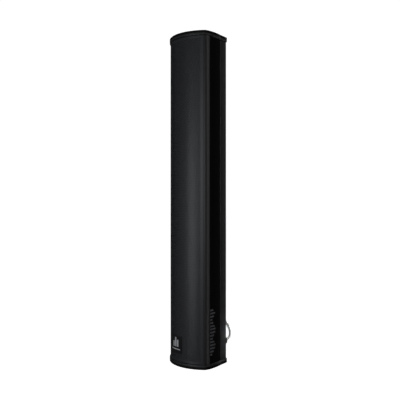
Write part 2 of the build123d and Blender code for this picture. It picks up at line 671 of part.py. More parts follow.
with BuildPart() as connector_plate:
    with BuildSketch(back_plane):
        with Locations((0, (plate_z0 + plate_z1) / 2)):
            RectangleRounded(2 * plate_hw, plate_z1 - plate_z0, 4)
        with Locations(*[(-socket_x, z) for z in socket_zs]):
            Circle(12.3, mode=Mode.SUBTRACT)
        with Locations(*[(-socket_x + 9.5 * s, z + 12 * s) for z in socket_zs for s in (-1, 1)]):
            Circle(1.6, mode=Mode.SUBTRACT)
        with Locations((-gland_x, gland_z)):
            Circle(8.2, mode=Mode.SUBTRACT)
    extrude(amount=-2.0)
    with Locations(*[Location((x, plate_back, z), (-90, 0, 0)) for x in (-35, 35) for z in (37, 112, 187)]):
        CounterSinkHole(radius=1.7, counter_sink_radius=3.2, depth=6)
connector_plate.part.label = "connector_plate"
export_step(connector_plate.part, "parts/connector_plate.step")

with BuildPart() as plate_screws:
    for sx in (-1, 1):
        for z in (37, 112, 187):
            with BuildSketch(Plane(origin=(35 * sx, 0, z), x_dir=(1, 0, 0), z_dir=(0, 0, 1))):
                with BuildLine():
                    Polyline((0, 74.3), (3.0, 74.3), (1.45, 72.75), (1.45, 65), (0, 63.5), (0, 74.3))
                make_face()
            revolve(axis=Axis((35 * sx, 0, z), (0, 1, 0)))
plate_screws.part.label = "plate_screws"
export_step(plate_screws.part, "parts/plate_screws.step")

for name, z in (("input_socket", socket_zs[0]), ("link_socket", socket_zs[1])):
    with BuildPart() as socket:
        with BuildSketch(Plane(origin=(socket_x, 72.4, z), x_dir=(-1, 0, 0), z_dir=(0, 1, 0))):
            RectangleRounded(26, 31, 2)
        extrude(amount=-1.6)
        with BuildSketch(Plane(origin=(socket_x, 74.3, z), x_dir=(-1, 0, 0), z_dir=(0, 1, 0))):
            Circle(12.0)
        extrude(amount=-21)
        with BuildSketch(Plane(origin=(socket_x, 74.3, z), x_dir=(-1, 0, 0), z_dir=(0, 1, 0))):
            Circle(10.2)
        extrude(amount=-18, mode=Mode.SUBTRACT)
        with BuildSketch(Plane(origin=(socket_x, 80, z), x_dir=(-1, 0, 0), z_dir=(0, 1, 0))):
            with Locations((-9.5, -12), (9.5, 12)):
                Circle(1.55)
        extrude(amount=-12, mode=Mode.SUBTRACT)
    socket.part.label = name
    export_step(socket.part, f"parts/{name}.step")

with BuildPart() as socket_screws:
    for z in socket_zs:
        for s in (-1, 1):
            x = socket_x - 9.5 * s
            zz = z + 12 * s
            with BuildSketch(Plane(origin=(x, 0, zz), x_dir=(1, 0, 0), z_dir=(0, 0, 1))):
                with BuildLine():
                    Polyline((0, 74.95), (1.8, 74.9), (2.4, 74.4), (1.45, 74.4), (1.45, 67.5), (0, 66.5), (0, 74.95))
                make_face()
            revolve(axis=Axis((x, 0, zz), (0, 1, 0)))
socket_screws.part.label = "socket_screws"
export_step(socket_screws.part, "parts/socket_screws.step")

# Elbow gland that the grey lead leaves, pointing a little above level.
with BuildPart() as lead_gland:
    with BuildSketch(Plane(origin=(gland_x, 66, gland_z), x_dir=(-1, 0, 0), z_dir=(0, 1, 0))):
        Circle(8.0)
    extrude(amount=plate_back - 66)
    with BuildSketch(Plane(origin=(gland_x, plate_back, gland_z), x_dir=(-1, 0, 0), z_dir=(0, 1, 0))):
        RegularPolygon(radius=12.2, side_count=6)
    extrude(amount=4)
    with BuildSketch(Plane(origin=(gland_x, plate_back + 4, gland_z), x_dir=(-1, 0, 0), z_dir=(0, 1, 0))):
        Circle(8.8)
    extrude(amount=gland_ball_y - plate_back - 4)
    with Locations((gland_x, gland_ball_y, gland_z)):
        Sphere(9.4)
    with BuildSketch(Plane(origin=(gland_x, gland_ball_y, gland_z), x_dir=(1, 0, 0), z_dir=outlet_dir)):
        Circle(6.6)
    extrude(amount=gland_reach, taper=6)
lead_gland.part.label = "lead_gland"
export_step(lead_gland.part, "parts/lead_gland.step")

with BuildPart() as gland_nut:
    with BuildSketch(Plane(origin=(gland_x, 67.4, gland_z), x_dir=(-1, 0, 0), z_dir=(0, 1, 0))):
        RegularPolygon(radius=11, side_count=6)
        Circle(8.1, mode=Mode.SUBTRACT)
    extrude(amount=5.0)
gland_nut.part.label = "gland_nut"
export_step(gland_nut.part, "parts/gland_nut.step")

# Rubber boot where the lead goes back in.
with BuildPart() as lead_boot:
    with BuildSketch(Plane(origin=boot_tip, x_dir=(1, 0, 0), z_dir=boot_dir)):
        Circle(5.1)
    extrude(amount=boot_len + 8, taper=-5)
    with Locations((gland_x, plate_back - 20, boot_z)):
        Box(70, 40, 90, mode=Mode.SUBTRACT)
    with BuildSketch(Plane(origin=(gland_x, plate_back, boot_z - 1), x_dir=(-1, 0, 0), z_dir=(0, 1, 0))):
        Ellipse(11.0, 14.5)
    extrude(amount=2.2)
lead_boot.part.label = "lead_boot"
export_step(lead_boot.part, "parts/lead_boot.step")

# Grey link lead: straight runs joined by tangent arcs.
radii = []
for p, q, r in zip(lead_points, lead_points[1:], lead_points[2:]):
    u, v = Vector(*q) - Vector(*p), Vector(*r) - Vector(*q)
    radii.append(0.45 * min(u.length, v.length) / math.tan(math.radians(u.get_angle(v) / 2)))
print("lead radii", [round(r, 1) for r in radii])
with BuildPart() as link_lead:
    with BuildLine() as lead_path:
        FilletPolyline(*lead_points, radius=radii)
    with BuildSketch(Plane(origin=lead_points[0], z_dir=Vector(*lead_points[1]) - Vector(*lead_points[0]))):
        Circle(lead_d / 2)
    sweep(path=lead_path.wire())
link_lead.part.label = "link_lead"
export_step(link_lead.part, "parts/link_lead.step")
lead_len = lead_path.wire().length
print("lead length", round(lead_len, 1), "volume ratio", round(link_lead.part.volume / (lead_len * math.pi * lead_d**2 / 4), 4))
print("lead points", [tuple(round(v, 2) for v in p) for p in lead_points])

with BuildPart() as bracket_inserts:
    for zc in bracket_zs:
        for sx in (-1, 1):
            for s in (-1, 1):
                x, z = sx * bracket_x, zc + s * bracket_dz
                with BuildSketch(Plane(origin=(x, 0, z), x_dir=(1, 0, 0), z_dir=(0, 0, 1))):
                    with BuildLine():
                        Polyline(
                            (3.0, 60.4), (4.4, 60.4), (5.6, 66.0), (5.6, 69.2), (4.4, 69.3), (4.4, 72.45), (6.6, 72.45), (6.6, 73.2), (3.0, 73.2), (3.0, 60.4)
                        )
                    make_face()
                revolve(axis=Axis((x, 0, z), (0, 1, 0)))
bracket_inserts.part.label = "bracket_inserts"
export_step(bracket_inserts.part, "parts/bracket_inserts.step")
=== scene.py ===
"""Looks of the column loudspeaker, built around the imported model. Metres, the row frame."""

import json
import math

import bmesh
import bpy
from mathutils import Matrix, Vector


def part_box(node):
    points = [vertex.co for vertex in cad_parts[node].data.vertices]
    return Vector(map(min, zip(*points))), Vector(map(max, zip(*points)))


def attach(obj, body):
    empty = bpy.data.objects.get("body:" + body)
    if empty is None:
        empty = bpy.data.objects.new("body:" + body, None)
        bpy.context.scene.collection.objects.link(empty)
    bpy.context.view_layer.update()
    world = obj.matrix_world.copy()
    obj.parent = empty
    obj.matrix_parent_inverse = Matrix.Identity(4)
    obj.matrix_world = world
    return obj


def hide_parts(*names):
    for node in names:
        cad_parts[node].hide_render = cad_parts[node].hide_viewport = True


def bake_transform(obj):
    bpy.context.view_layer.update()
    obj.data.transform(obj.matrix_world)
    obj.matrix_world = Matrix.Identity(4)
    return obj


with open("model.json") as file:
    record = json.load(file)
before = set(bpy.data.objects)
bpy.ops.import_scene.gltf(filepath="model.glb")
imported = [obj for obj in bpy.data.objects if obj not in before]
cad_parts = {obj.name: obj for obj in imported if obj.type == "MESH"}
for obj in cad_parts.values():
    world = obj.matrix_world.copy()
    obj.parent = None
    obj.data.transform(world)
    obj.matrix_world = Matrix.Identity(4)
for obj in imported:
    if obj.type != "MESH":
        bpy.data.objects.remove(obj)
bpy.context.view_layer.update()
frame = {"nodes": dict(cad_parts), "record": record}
nodes = frame["nodes"]
scene = bpy.context.scene
MM = 0.001

# ---------------------------------------------------------------- camera

cam_data = bpy.data.cameras.new("camera")
cam_data.lens = 52.32
cam_data.sensor_width = 36.0
cam_data.clip_start, cam_data.clip_end = 0.05, 60.0
camera = bpy.data.objects.new("camera", cam_data)
camera.location = (1.480, -1.0213, 0.5)
camera.rotation_euler = (math.radians(90), 0.0, math.radians(55))
scene.collection.objects.link(camera)
scene.camera = camera

# ---------------------------------------------------------------- materials


class Shader:
    """One node-based finish. Every pattern is laid in the object's own coordinates."""

    def __init__(self, name, rough=0.5, metallic=0.0, **flat):
        self.mat = bpy.data.materials.new(name)
        self.mat.use_nodes = True
        self.tree = self.mat.node_tree
        self.tree.nodes.clear()
        self.out = self.node("ShaderNodeOutputMaterial")
        self.bsdf = self.node("ShaderNodeBsdfPrincipled")
        self.link(self.bsdf.outputs[0], self.out.inputs[0])
        self.coords = self.node("ShaderNodeTexCoord").outputs["Object"]
        self.bsdf.inputs["Roughness"].default_value = rough
        self.bsdf.inputs["Metallic"].default_value = metallic
        for key, value in flat.items():
            self.bsdf.inputs[key.replace("_", " ").title().replace("Ior", "IOR")].default_value = value
        self.normal = None

    def node(self, kind, **attrs):
        n = self.tree.nodes.new(kind)
        for k, v in attrs.items():
            setattr(n, k, v)
        return n

    def link(self, a, b):
        self.tree.links.new(a, b)

    def mapped(self, scale, turn=(0, 0, 0), move=(0, 0, 0)):
        m = self.node("ShaderNodeMapping")
        m.inputs["Scale"].default_value = scale
        m.inputs["Rotation"].default_value = turn
        m.inputs["Location"].default_value = move
        self.link(self.coords, m.inputs["Vector"])
        return m.outputs["Vector"]

    def noise(self, scale, detail=3.0, rough=0.55, distortion=0.0, **where):
        scale = (scale,) * 3 if isinstance(scale, (int, float)) else scale
        n = self.node("ShaderNodeTexNoise")
        n.inputs["Scale"].default_value = 1.0
        n.inputs["Detail"].default_value = detail
        n.inputs["Roughness"].default_value = rough
        n.inputs["Distortion"].default_value = distortion
        self.link(self.mapped(scale, **where), n.inputs["Vector"])
        return n.outputs["Fac"]

    def cells(self, scale, feature="F1", randomness=1.0, output="Distance"):
        scale = (scale,) * 3 if isinstance(scale, (int, float)) else scale
        n = self.node("ShaderNodeTexVoronoi", feature=feature)
        n.inputs["Scale"].default_value = 1.0
        n.inputs["Randomness"].default_value = randomness
        self.link(self.mapped(scale), n.inputs["Vector"])
        return n.outputs[output]

    def bands(self, scale, direction="X", profile="SIN", distortion=0.0, rings=False, turn=(0, 0, 0), move=(0, 0, 0)):
        n = self.node("ShaderNodeTexWave", wave_profile=profile)
        if rings:
            n.wave_type, n.rings_direction = "RINGS", direction
        else:
            n.wave_type, n.bands_direction = "BANDS", direction
        n.inputs["Scale"].default_value = scale
        n.inputs["Distortion"].default_value = distortion
        self.link(self.mapped((1, 1, 1), turn, move), n.inputs["Vector"])
        return n.outputs["Fac"]

    def maths(self, op, a, b=None, c=None):
        n = self.node("ShaderNodeMath", operation=op)
        for k, v in enumerate((a, b, c)):
            if v is None:
                continue
            if isinstance(v, (int, float)):
                n.inputs[k].default_value = v
            else:
                self.link(v, n.inputs[k])
        return n.outputs[0]

    def ramp(self, fac, *stops):
        n = self.node("ShaderNodeValToRGB")
        r = n.color_ramp
        while len(r.elements) < len(stops):
            r.elements.new(0.5)
        for e, (at, color) in zip(r.elements, stops):
            e.position = at
            e.color = (*color, 1.0) if not isinstance(color, (int, float)) else (color, color, color, 1.0)
        self.link(fac, n.inputs["Fac"])
        return n.outputs["Color"]

    def mix(self, fac, a, b):
        n = self.node("ShaderNodeMix", data_type="RGBA")
        if isinstance(fac, (int, float)):
            n.inputs[0].default_value = fac
        else:
            self.link(fac, n.inputs[0])
        for k, v in ((6, a), (7, b)):
            if isinstance(v, tuple):
                n.inputs[k].default_value = (*v, 1.0)
            else:
                self.link(v, n.inputs[k])
        return n.outputs[2]

    def color(self, source):
        self.tint = source
        self.link(source, self.bsdf.inputs["Base Color"])
        return self

    def rough(self, fac, low, high):
        n = self.node("ShaderNodeMapRange")
        n.inputs["To Min"].default_value = low
        n.inputs["To Max"].default_value = high
        self.link(fac, n.inputs["Value"])
        self.link(n.outputs["Result"], self.bsdf.inputs["Roughness"])
        return self

    def bump(self, height, distance, strength=1.0, invert=False):
        n = self.node("ShaderNodeBump", invert=invert)
        n.inputs["Strength"].default_value = strength
        n.inputs["Distance"].default_value = distance
        self.link(height, n.inputs["Height"])
        if self.normal is not None:
            self.link(self.normal, n.inputs["Normal"])
        self.normal = n.outputs["Normal"]
        self.link(self.normal, self.bsdf.inputs["Normal"])
        return self

    def soften(self, radius):
        """Rounds the look of sharp machined edges."""
        n = self.node("ShaderNodeBevel", samples=4)
        n.inputs["Radius"].default_value = radius
        self.normal = n.outputs["Normal"]
        self.link(self.normal, self.bsdf.inputs["Normal"])
        return self


def tone(base, k):
    return tuple(c * k for c in base)


def speckled(name, base, rough, spread=0.18, grain=900.0, depth=0.00004, cloud=9.0, soften=0.0, **flat):
    """Moulded or coated surface: fine grain, a faint cloudy change of tone and of gloss."""
    s = Shader(name, rough, **flat)
    if soften:
        s.soften(soften)
    fine = s.noise(grain, 4.0)
    wide = s.noise(cloud, 3.0)
    both = s.maths("MULTIPLY_ADD", fine, 0.4, s.maths("MULTIPLY", wide, 0.6))
    s.color(s.ramp(both, (0.3, tone(base, 1 - spread)), (0.7, tone(base, 1 + spread))))
    s.rough(s.noise(cloud * 5, 4.0), rough - 0.06, rough + 0.06)
    s.bump(fine, depth)
    return s


def build_materials():
    m = {}

    # Powder-coated perforated sheet.
    s = Shader("grille_coat", 0.45, specular_ior_level=0.5)
    fine = s.noise(1500.0, 3.0)
    wide = s.noise((5.0, 5.0, 2.2), 2.0)
    s.color(s.ramp(s.maths("MULTIPLY_ADD", fine, 0.35, s.maths("MULTIPLY", wide, 0.65)), (0.3, (0.027, 0.0285, 0.031)), (0.7, (0.034, 0.0355, 0.038))))
    s.rough(s.noise(60.0, 3.0), 0.37, 0.46)
    s.bump(fine, 0.00003, 0.7)
    m["grille"] = s

    # Satin extruded aluminium, with faint draw lines up its length.
    s = Shader("housing_satin", 0.36, specular_ior_level=0.5)
    draw = s.noise((2600.0, 2600.0, 5.0), 4.0)
    wide = s.noise((9.0, 9.0, 1.6), 3.0)
    s.color(s.ramp(s.maths("MULTIPLY_ADD", draw, 0.3, s.maths("MULTIPLY", wide, 0.7)), (0.3, (0.016, 0.0165, 0.018)), (0.7, (0.021, 0.0215, 0.023))))
    s.rough(s.noise((700.0, 700.0, 9.0), 4.0), 0.31, 0.41)
    s.bump(draw, 0.00001, 0.5)
    # the shadow groove down each side gets painted shade: its colour is mixed to near-black, and its roughness is
    # raised to full
    xyz = s.node("ShaderNodeSeparateXYZ")
    s.link(s.coords, xyz.inputs[0])
    level = s.maths("ABSOLUTE", s.maths("ADD", xyz.outputs[1], 0.0256))
    groove_painted_shade = s.maths("MULTIPLY", s.maths("LESS_THAN", level, 0.0013), s.maths("GREATER_THAN", s.maths("ABSOLUTE", xyz.outputs[0]), 0.0872))
    # painted shade: near-black colour laid into the groove, where the recess falls into shade
    s.color(s.mix(groove_painted_shade, s.tint, (0.0015, 0.0015, 0.0016)))
    dull = s.node("ShaderNodeMix", data_type="FLOAT")
    s.link(groove_painted_shade, dull.inputs[0])
    s.link(s.bsdf.inputs["Roughness"].links[0].from_socket, dull.inputs[2])
    dull.inputs[3].default_value = 1.0
    s.link(dull.outputs[0], s.bsdf.inputs["Roughness"])
    m["housing"] = s

    # Gloss black strip with the faintest orange peel and a few hair scratches in its gloss.
    s = Shader("gloss_black", 0.06, specular_ior_level=0.5)
    wide = s.noise((14.0, 14.0, 4.0), 2.0)
    s.color(s.ramp(wide, (0.3, (0.0018, 0.0018, 0.0021)), (0.7, (0.0028, 0.0028, 0.0032))))
    s.rough(s.ramp(s.noise((40.0, 3000.0, 26.0), 5.0), (0.55, 0.0), (0.75, 1.0)), 0.05, 0.12)
    s.bump(s.noise(160.0, 1.5), 0.00002, 0.5)
    m["gloss_strip"] = s

    # Moulded cap: fine leather grain.
    s = Shader("cap_moulded", 0.44, specular_ior_level=0.5)
    grain = s.cells(1300.0, "SMOOTH_F1")
    wide = s.noise(11.0, 3.0)
    s.color(s.ramp(wide, (0.3, (0.020, 0.021, 0.0225)), (0.7, (0.027, 0.028, 0.0295))))
    s.rough(s.noise(70.0, 4.0), 0.39, 0.50)
    s.bump(grain, 0.00006, 0.6)
    m["cap"] = s

    # Rubber end ring: dull, slightly dusty.
    s = Shader("ring_rubber", 0.7, specular_ior_level=0.16)
    dust = s.noise(45.0, 6.0, 0.65)
    s.color(s.ramp(dust, (0.35, (0.0030, 0.0030, 0.0032)), (0.75, (0.0075, 0.0075, 0.0078))))
    s.rough(dust, 0.62, 0.80)
    s.bump(s.noise(1100.0, 4.0), 0.00006, 0.7)
    m["end_ring"] = s

    m["seal"] = speckled("seal_foam", (0.006, 0.006, 0.006), 0.85, 0.3, 1800.0, 0.0001)

    # Blackened steel screws.
    s = Shader("screw_black", 0.34, metallic=0.85)
    s.color(s.ramp(s.noise(500.0, 4.0), (0.3, (0.035, 0.035, 0.038)), (0.7, (0.075, 0.075, 0.080))))
    s.rough(s.noise(900.0, 3.0), 0.26, 0.45)
    s.bump(s.noise((4000.0, 4000.0, 400.0), 2.0), 0.00001)
    m["screw"] = s

    # Zinc-plated steel inserts, turned.
    s = Shader("insert_zinc", 0.3, metallic=1.0)
    s.color(s.ramp(s.noise(260.0, 4.0), (0.3, (0.42, 0.41, 0.37)), (0.7, (0.60, 0.58, 0.52))))
    s.rough(s.noise(800.0, 3.0), 0.24, 0.42)
    s.bump(s.bands(900.0, "Y"), 0.00001)
    m["insert"] = s

    # Woven acoustic cloth.
    s = Shader("acoustic_cloth", 0.9, sheen_weight=0.25, sheen_roughness=0.5)
    over, under = s.bands(700.0, "X"), s.bands(700.0, "Z")
    weave = s.maths("MULTIPLY", over, under)
    fuzz = s.noise(2600.0, 3.0)
    s.color(s.ramp(s.maths("MULTIPLY_ADD", fuzz, 0.4, s.maths("MULTIPLY", weave, 0.6)), (0.1, (0.020, 0.021, 0.0235)), (0.8, (0.042, 0.044, 0.048))))
    s.rough(fuzz, 0.82, 0.95)
    s.bump(weave, 0.0001)
    m["cloth"] = s

    # Badge: dark anodised plate, and satin silver marks.
    s = Shader("badge_black", 0.34)
    brushed = s.noise((30.0, 900.0, 3200.0), 3.0)
    s.color(s.ramp(s.noise(80.0, 3.0), (0.3, (0.010, 0.010, 0.011)), (0.7, (0.015, 0.015, 0.016))))
    s.rough(brushed, 0.28, 0.42)
    s.bump(brushed, 0.000005)
    m["badge"] = s

    s = Shader("badge_silver", 0.3, metallic=0.25)
    brushed = s.noise((40.0, 900.0, 3600.0), 3.0)
    s.color(s.ramp(brushed, (0.3, (0.62, 0.63, 0.65)), (0.7, (0.86, 0.87, 0.89))))
    s.rough(brushed, 0.26, 0.42)
    s.bump(brushed, 0.000006)
    m["badge_mark"] = s

    # Painted fibreboard baffle.
    s = Shader("baffle_board", 0.75)
    fibre = s.noise((700.0, 300.0, 240.0), 5.0, 0.7)
    s.color(s.ramp(fibre, (0.3, (0.010, 0.010, 0.010)), (0.7, (0.022, 0.021, 0.020))))
    s.rough(fibre, 0.66, 0.86)
    s.bump(fibre, 0.0001)
    m["baffle"] = s

    m["basket"] = speckled("basket_coat", (0.020, 0.020, 0.021), 0.42, 0.2, 1400.0, 0.00004, metallic=0.2)

    # Driver motor: dark ferrite between zinc-plated plates.
    s = Shader("motor_ferrite", 0.5, metallic=0.35)
    s.color(s.ramp(s.noise((40.0, 600.0, 40.0), 5.0), (0.3, (0.055, 0.055, 0.058)), (0.7, (0.12, 0.12, 0.125))))
    s.rough(s.noise(350.0, 5.0), 0.42, 0.68)
    s.bump(s.noise(500.0, 5.0), 0.00006)
    m["motor"] = s

    # Pressed paper cone: fibres, and faint rings of the pressing.
    s = Shader("paper_cone", 0.8, sheen_weight=0.15)
    fibre = s.noise((500.0, 900.0, 700.0), 6.0, 0.7, 1.5)
    s.color(s.ramp(fibre, (0.3, (0.008, 0.008, 0.008)), (0.75, (0.027, 0.026, 0.025))))
    s.rough(fibre, 0.7, 0.92)
    s.bump(fibre, 0.00015)
    m["cone"] = s

    m["surround"] = speckled("surround_rubber", (0.009, 0.009, 0.009), 0.55, 0.25, 700.0, 0.00005)

    # Treated cotton spider.
    s = Shader("spider_cotton", 0.85, sheen_weight=0.2)
    weave = s.maths("MULTIPLY", s.bands(420.0, "X"), s.bands(420.0, "Z"))
    s.color(s.ramp(s.maths("MULTIPLY_ADD", weave, 0.5, s.maths("MULTIPLY", s.noise(300.0, 4.0), 0.5)), (0.2, (0.22, 0.12, 0.035)), (0.8, (0.42, 0.25, 0.085))))
    s.rough(weave, 0.78, 0.92)
    s.bump(weave, 0.00012)
    m["spider"] = s

    m["horn"] = speckled("horn_moulded", (0.014, 0.014, 0.015), 0.38, 0.18, 1200.0, 0.00003)

    # Formed metal diaphragm.
    s = Shader("diaphragm_foil", 0.3, metallic=1.0)
    s.color(s.ramp(s.noise(300.0, 3.0), (0.3, (0.48, 0.48, 0.50)), (0.7, (0.62, 0.62, 0.64))))
    s.rough(s.noise(600.0, 4.0), 0.22, 0.4)
    s.bump(s.noise(260.0, 2.0), 0.00003)
    m["diaphragm"] = s

    # Circuit board: solder mask over broad copper areas.
    s = Shader("board_mask", 0.35)
    track = s.cells((90.0, 90.0, 60.0), "DISTANCE_TO_EDGE")
    mask = s.ramp(track, (0.05, (0.012, 0.060, 0.020)), (0.09, (0.024, 0.125, 0.042)))
    s.color(mask)
    s.rough(s.noise(400.0, 4.0), 0.28, 0.42)
    s.bump(track, 0.00005)
    m["circuit_board"] = s

    s = Shader("standoff_brass", 0.28, metallic=1.0)
    s.color(s.ramp(s.noise(500.0, 4.0), (0.3, (0.52, 0.36, 0.12)), (0.7, (0.75, 0.55, 0.22))))
    s.rough(s.noise(700.0, 3.0), 0.2, 0.36)
    s.bump(s.bands(1000.0, "Y"), 0.00001)
    m["standoff"] = s

    # Enamelled copper windings.
    s = Shader("copper_winding", 0.3, metallic=0.9, coat_weight=0.5)
    turns = s.bands(260.0, "Y", distortion=1.2)
    s.color(s.ramp(turns, (0.2, (0.16, 0.035, 0.010)), (0.8, (0.52, 0.17, 0.055))))
    s.rough(turns, 0.24, 0.42)
    s.bump(turns, 0.0002)
    m["winding"] = s

    s = speckled("capacitor_film", (0.30, 0.055, 0.030), 0.3, 0.12, 500.0, 0.00003, coat_weight=0.3)
    m["capacitor"] = s

    # Open-cell foam.
    s = Shader("open_foam", 0.95, sheen_weight=0.3)
    pores = s.cells(650.0)
    s.color(s.ramp(pores, (0.1, (0.006, 0.006, 0.006)), (0.7, (0.055, 0.055, 0.058))))
    s.rough(pores, 0.88, 1.0)
    s.bump(pores, 0.0006)
    m["foam"] = s

    # Braided sleeve.
    s = Shader("loom_sleeve", 0.6)
    braid = s.maths("MAXIMUM", s.bands(260.0, "DIAGONAL"), s.bands(260.0, "DIAGONAL", turn=(0, math.pi, 0)))
    s.color(s.ramp(braid, (0.2, (0.008, 0.008, 0.008)), (0.9, (0.05, 0.05, 0.052))))
    s.rough(braid, 0.5, 0.75)
    s.bump(braid, 0.0002)
    m["loom"] = s

    # Connector plate: textured black powder coat.
    s = Shader("plate_coat", 0.5)
    s.soften(0.0005)
    peel = s.cells(800.0, "SMOOTH_F1")
    s.color(s.ramp(s.noise(40.0, 4.0), (0.3, (0.012, 0.012, 0.0125)), (0.7, (0.018, 0.018, 0.019))))
    s.rough(s.noise(200.0, 4.0), 0.42, 0.58)
    s.bump(peel, 0.0001, 0.8)
    m["connector_plate"] = s

    m["socket"] = speckled("socket_moulded", (0.012, 0.012, 0.013), 0.42, 0.15, 1300.0, 0.00003, soften=0.0003)
    m["gland"] = speckled("gland_nylon", (0.010, 0.010, 0.0105), 0.36, 0.15, 900.0, 0.00003, soften=0.0004)
    m["boot"] = speckled("boot_rubber", (0.009, 0.009, 0.009), 0.62, 0.25, 1000.0, 0.00006)

    # Grey lead: matt plastic sheath, with slight scuffs.
    s = Shader("lead_sheath", 0.5, specular_ior_level=0.45)
    scuff = s.noise((220.0, 220.0, 90.0), 5.0, 0.65)
    s.color(s.ramp(scuff, (0.3, (0.56, 0.56, 0.57)), (0.7, (0.66, 0.66, 0.67))))
    s.rough(scuff, 0.42, 0.58)
    s.bump(s.noise(1500.0, 3.0), 0.00004)
    m["lead"] = s

    # Grey ink of the printed bars.
    s = Shader("print_ink", 0.5)
    s.color(s.ramp(s.noise(1200.0, 4.0), (0.3, (0.145, 0.147, 0.156)), (0.7, (0.18, 0.182, 0.193))))
    s.rough(s.noise(700.0, 3.0), 0.42, 0.58)
    s.bump(s.noise(2600.0, 2.0), 0.00001)
    m["print"] = s
    return {k: v.mat for k, v in m.items()}


MATS = build_materials()
slot_of = {p["node"]: p["material_slot"] for p in frame["record"]["subparts"]}
for name, obj in nodes.items():
    obj.data.materials.clear()
    obj.data.materials.append(MATS[slot_of[name]])


def add_mesh(name, verts, faces, mat, normals=None, smooth=True):
    mesh = bpy.data.meshes.new(name)
    mesh.from_pydata(verts, [], faces)
    mesh.materials.append(MATS[mat])
    mesh.validate()
    mesh.polygons.foreach_set("use_smooth", [smooth] * len(mesh.polygons))
    if normals is not None:
        mesh.normals_split_custom_set(normals)
    mesh.update()
    obj = bpy.data.objects.new(name, mesh)
    scene.collection.objects.link(obj)
    return obj


# ---------------------------------------------------------------- perforated grille

FRONT_CY, SHEET_R, SHEET_T, SHEET_X = 0.0402, 0.1126, 0.0012, 0.0861
BEND = 0.0026
bend_cx = SHEET_X - BEND
bend_cy = FRONT_CY - math.sqrt((SHEET_R - BEND) ** 2 - bend_cx**2)
bend_a = math.asin(bend_cx / (SHEET_R - BEND))
S1 = SHEET_R * bend_a
S2 = S1 + BEND * (math.pi / 2 - bend_a)
S3 = S2 + (-0.015 - bend_cy)


def section(s):
    """Point and outward normal of the sheet's outer face, at s along it from the middle."""
    side, s = (1, s) if s >= 0 else (-1, -s)
    if s <= S1:
        a = s / SHEET_R
        p, n = (SHEET_R * math.sin(a), FRONT_CY - SHEET_R * math.cos(a)), (math.sin(a), -math.cos(a))
    elif s <= S2:
        a = bend_a + (s - S1) / BEND
        p, n = (bend_cx + BEND * math.sin(a), bend_cy - BEND * math.cos(a)), (math.sin(a), -math.cos(a))
    else:
        p, n = (SHEET_X, bend_cy + s - S2), (1.0, 0.0)
    return (side * p[0], p[1]), (side * n[0], n[1])


